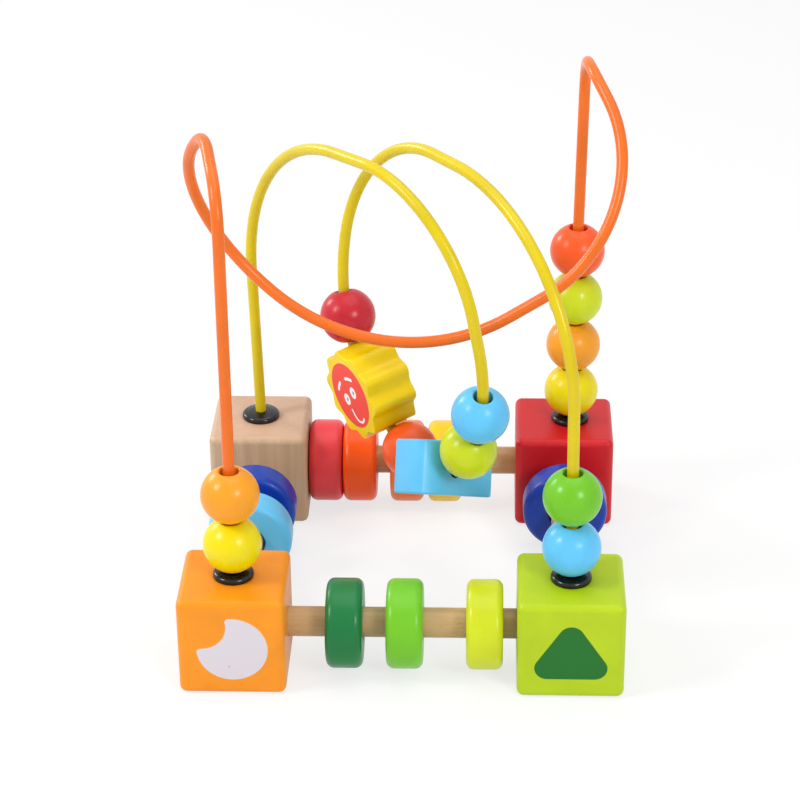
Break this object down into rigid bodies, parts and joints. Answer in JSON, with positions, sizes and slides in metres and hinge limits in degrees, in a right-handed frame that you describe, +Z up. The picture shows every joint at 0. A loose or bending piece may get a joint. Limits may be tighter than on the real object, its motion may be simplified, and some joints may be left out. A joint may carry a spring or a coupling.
{
  "type": "bead maze",
  "caption": "Wooden bead maze toy: corner blocks tied by dowels with sliding counting discs carry bent wires with beads, a wave and a sun to slide along them.",
  "frame": {"origin": "middle of the square base, on the surface that the blocks stand on", "axes": "+X to the right and -Y to the front as in the picture, +Z up"},
  "size_m": [0.166, 0.166, 0.2068],
  "materials": {
    "orange_paint": "satin lacquer",
    "lime_paint": "satin lacquer",
    "red_paint": "satin lacquer",
    "natural_wood": "clear varnish",
    "dowel_wood": "clear varnish",
    "green_paint": "satin lacquer",
    "leaf_paint": "satin lacquer",
    "lemon_paint": "satin lacquer",
    "dark_red_paint": "satin lacquer",
    "coral_paint": "satin lacquer",
    "tangerine_paint": "satin lacquer",
    "yellow_paint": "satin lacquer",
    "blue_paint": "satin lacquer",
    "sky_paint": "satin lacquer",
    "orange_coating": "glossy plastic coat",
    "yellow_coating": "glossy plastic coat",
    "black_plastic": "gloss",
    "bead_yellow_paint": "satin lacquer",
    "bead_orange_paint": "satin lacquer",
    "bead_lime_paint": "satin lacquer",
    "bead_coral_paint": "satin lacquer",
    "bead_red_paint": "satin lacquer",
    "sun_paint": "satin lacquer"
  },
  "bodies": {
    "frame": {"block_front_left": "orange_paint", "block_front_right": "lime_paint", "block_back_left": "natural_wood", "block_back_right": "red_paint", "dowel_front": "dowel_wood", "dowel_back": "dowel_wood", "dowel_left": "dowel_wood", "dowel_right": "dowel_wood", "wire_orange": "orange_coating", "wire_yellow": "yellow_coating", "grommet_front_left": "black_plastic", "grommet_front_right": "black_plastic", "grommet_back_left": "black_plastic", "grommet_back_right": "black_plastic"},
    "disc_front_green": {"disc_front_green": "green_paint"},
    "disc_front_leaf": {"disc_front_leaf": "leaf_paint"},
    "disc_front_yellow": {"disc_front_yellow": "lemon_paint"},
    "disc_back_red": {"disc_back_red": "dark_red_paint"},
    "disc_back_coral": {"disc_back_coral": "coral_paint"},
    "disc_back_orange": {"disc_back_orange": "tangerine_paint"},
    "disc_back_yellow": {"disc_back_yellow": "yellow_paint"},
    "disc_left_blue": {"disc_left_blue": "blue_paint"},
    "disc_left_sky": {"disc_left_sky": "sky_paint"},
    "disc_right_blue": {"disc_right_blue": "blue_paint"},
    "bead_front_left_yellow": {"bead_front_left_yellow": "bead_yellow_paint"},
    "bead_front_left_orange": {"bead_front_left_orange": "bead_orange_paint"},
    "bead_back_right_yellow": {"bead_back_right_yellow": "bead_yellow_paint"},
    "bead_back_right_orange": {"bead_back_right_orange": "bead_orange_paint"},
    "bead_back_right_lime": {"bead_back_right_lime": "bead_lime_paint"},
    "bead_back_right_coral": {"bead_back_right_coral": "bead_coral_paint"},
    "bead_front_right_sky": {"bead_front_right_sky": "sky_paint"},
    "bead_front_right_green": {"bead_front_right_green": "leaf_paint"},
    "bead_loop_sky": {"bead_loop_sky": "sky_paint"},
    "bead_loop_lime": {"bead_loop_lime": "bead_lime_paint"},
    "wave_block": {"wave_block": "sky_paint"},
    "bead_loop_coral": {"bead_loop_coral": "bead_coral_paint"},
    "sun_block": {"sun_block": "sun_paint"},
    "bead_loop_red": {"bead_loop_red": "bead_red_paint"}
  },
  "joints": [
    {"name": "disc_front_green_slide", "type": "slide", "parent": "frame", "child": "disc_front_green", "axis": [1, 0, 0], "range_m": [-0.0142, 0.0042]},
    {"name": "disc_front_leaf_slide", "type": "slide", "parent": "frame", "child": "disc_front_leaf", "axis": [1, 0, 0], "range_m": [-0.0042, 0.0079]},
    {"name": "disc_front_yellow_slide", "type": "slide", "parent": "frame", "child": "disc_front_yellow", "axis": [1, 0, 0], "range_m": [-0.0079, 0.0048]},
    {"name": "disc_back_red_slide", "type": "slide", "parent": "frame", "child": "disc_back_red", "axis": [1, 0, 0], "range_m": [0, 0.002]},
    {"name": "disc_back_coral_slide", "type": "slide", "parent": "disc_back_red", "child": "disc_back_coral", "axis": [1, 0, 0], "range_m": [0, 0.002]},
    {"name": "disc_back_orange_slide", "type": "slide", "parent": "frame", "child": "disc_back_orange", "axis": [1, 0, 0], "range_m": [-0.0015, 0.01]},
    {"name": "disc_back_yellow_slide", "type": "slide", "parent": "disc_back_orange", "child": "disc_back_yellow", "axis": [1, 0, 0], "range_m": [-0.0015, 0.012]},
    {"name": "disc_left_blue_slide", "type": "slide", "parent": "frame", "child": "disc_left_blue", "axis": [0, 1, 0], "range_m": [-0.0039, 0.0128]},
    {"name": "disc_left_sky_slide", "type": "slide", "parent": "frame", "child": "disc_left_sky", "axis": [0, 1, 0], "range_m": [-0.0368, 0.0039]},
    {"name": "disc_right_blue_slide", "type": "slide", "parent": "frame", "child": "disc_right_blue", "axis": [0, 1, 0], "range_m": [-0.0618, 0.0098]},
    {"name": "bead_front_left_yellow_slide", "type": "slide", "parent": "frame", "child": "bead_front_left_yellow", "axis": [0, 0, 1], "range_m": [0, 0.045]},
    {"name": "bead_front_left_orange_slide", "type": "slide", "parent": "bead_front_left_yellow", "child": "bead_front_left_orange", "axis": [0, 0, 1], "range_m": [0, 0.045]},
    {"name": "bead_back_right_yellow_slide", "type": "slide", "parent": "frame", "child": "bead_back_right_yellow", "axis": [0.0183, 0, 0.9998], "range_m": [0, 0.013]},
    {"name": "bead_back_right_orange_slide", "type": "slide", "parent": "bead_back_right_yellow", "child": "bead_back_right_orange", "axis": [0.0183, 0, 0.9998], "range_m": [0, 0.013]},
    {"name": "bead_back_right_lime_slide", "type": "slide", "parent": "bead_back_right_orange", "child": "bead_back_right_lime", "axis": [0.0183, 0, 0.9998], "range_m": [0, 0.013]},
    {"name": "bead_back_right_coral_slide", "type": "slide", "parent": "bead_back_right_lime", "child": "bead_back_right_coral", "axis": [0.0183, 0, 0.9998], "range_m": [0, 0.013]},
    {"name": "bead_front_right_sky_slide", "type": "slide", "parent": "frame", "child": "bead_front_right_sky", "axis": [-0.0068, 0, 1], "range_m": [0, 0.011]},
    {"name": "bead_front_right_green_slide", "type": "slide", "parent": "bead_front_right_sky", "child": "bead_front_right_green", "axis": [-0.0068, 0, 1], "range_m": [-0.0005, 0.011]},
    {"name": "bead_loop_lime_travel", "type": "hinge", "parent": "frame", "child": "bead_loop_lime", "pos_m": [-0.03569, 0.0181, 0.1167], "axis": [-0.65, -0.7398, -0.174], "range_deg": [0, 6]},
    {"name": "bead_loop_sky_travel", "type": "hinge", "parent": "bead_loop_lime", "child": "bead_loop_sky", "pos_m": [-0.03569, 0.0181, 0.1167], "axis": [-0.65, -0.7398, -0.174], "range_deg": [0, 7]},
    {"name": "wave_block_turn", "type": "hinge", "parent": "frame", "child": "wave_block", "pos_m": [0.01457, -0.0109, 0.05736], "axis": [-0.5726, 0.7194, -0.3932], "range_deg": [-10, 10]},
    {"name": "sun_block_travel", "type": "hinge", "parent": "frame", "child": "sun_block", "pos_m": [0.04607, -0.00709, 0.12781], "axis": [0.5452, 0.819, -0.1788], "range_deg": [0, 4]},
    {"name": "bead_loop_red_travel", "type": "hinge", "parent": "sun_block", "child": "bead_loop_red", "pos_m": [0.04607, -0.00709, 0.12781], "axis": [0.5452, 0.819, -0.1788], "range_deg": [0, 7]},
    {"name": "bead_loop_coral_spin", "type": "hinge", "parent": "frame", "child": "bead_loop_coral", "pos_m": [0.00102, 0.00514, 0.05663], "axis": [-0.6347, 0.7125, 0.2993], "continuous": true}
  ]
}
